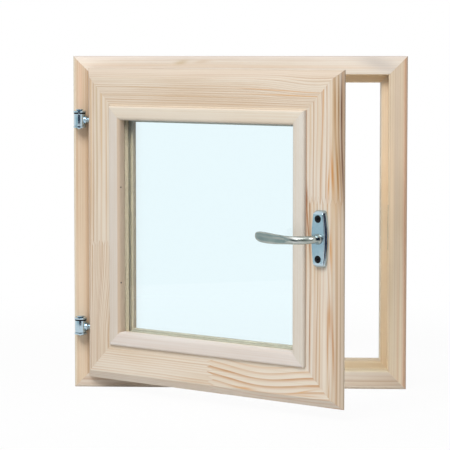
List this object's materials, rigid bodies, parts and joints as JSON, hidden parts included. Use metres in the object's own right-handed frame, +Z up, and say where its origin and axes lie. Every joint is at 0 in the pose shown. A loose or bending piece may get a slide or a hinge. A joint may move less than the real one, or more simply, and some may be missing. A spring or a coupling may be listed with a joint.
{
  "type": "side-hung window",
  "caption": "Small side-hung timber window: mitred frame, bevelled sash with sealed double glazing and beads, eyebolt hinges, and a lever handle that turns a latch tongue",
  "frame": {"origin": "centre of the frame's underside, midway between its room face and its wall side", "axes": "+X to the right seen from the room, +Y away from the room through the wall, +Z up"},
  "size_m": [0.39, 0.2762, 0.39],
  "materials": {
    "pine": "planed pale pine, bare, fine warm grain along each member",
    "bead_pine": "sanded pale pine with little figure",
    "dowel_wood": "turned beech, bare",
    "zinc": "bluish bright zinc plating, satin",
    "lever_steel": "satin nickel-grey metal, polished by hand use",
    "black_screw": "black oxide",
    "brad_steel": "plain bright steel",
    "glass": "clear float glass with a faint blue tint",
    "spacer_aluminium": "mill aluminium",
    "sealant": "matt dark polysulphide and glazing tape",
    "seal_rubber": "pale silicone strip",
    "block_plastic": "matt moulded plastic"
  },
  "bodies": {
    "frame": {"frame_left_jamb": "pine", "frame_right_jamb": "pine", "frame_head": "pine", "frame_sill": "pine", "frame_corner_dowels": "dowel_wood", "strike_plate": "zinc", "strike_screws": "zinc", "hinge_top_bracket": "zinc", "hinge_top_pin": "zinc", "hinge_bottom_bracket": "zinc", "hinge_bottom_pin": "zinc", "hinge_screws": "zinc"},
    "sash": {"sash_hinge_stile": "pine", "sash_lock_stile": "pine", "sash_top_rail": "pine", "sash_bottom_rail": "pine", "sash_corner_dowels": "dowel_wood", "sash_seal": "seal_rubber", "front_pane": "glass", "rear_pane": "glass", "spacer_bar": "spacer_aluminium", "edge_sealant": "sealant", "front_glazing_tape": "sealant", "rear_glazing_tape": "sealant", "setting_blocks": "block_plastic", "bead_left": "bead_pine", "bead_right": "bead_pine", "bead_top": "bead_pine", "bead_bottom": "bead_pine", "bead_brads": "brad_steel", "hinge_top_eyebolt": "zinc", "hinge_bottom_eyebolt": "zinc", "handle_plate": "zinc", "handle_screws": "black_screw"},
    "handle": {"handle_lever": "lever_steel", "lever_retaining_ring": "lever_steel", "handle_spindle": "lever_steel", "latch_tongue": "lever_steel"}
  },
  "joints": [
    {"name": "sash_swing", "type": "hinge", "parent": "frame", "child": "sash", "pos_m": [-0.186, -0.0345, 0.195], "axis": [0, 0, -1], "range_deg": [-35, 75]},
    {"name": "lever_turn", "type": "hinge", "parent": "sash", "child": "handle", "pos_m": [0.09632, -0.23279, 0.197], "axis": [-0.5736, -0.8192, 0], "range_deg": [0, 90]}
  ]
}
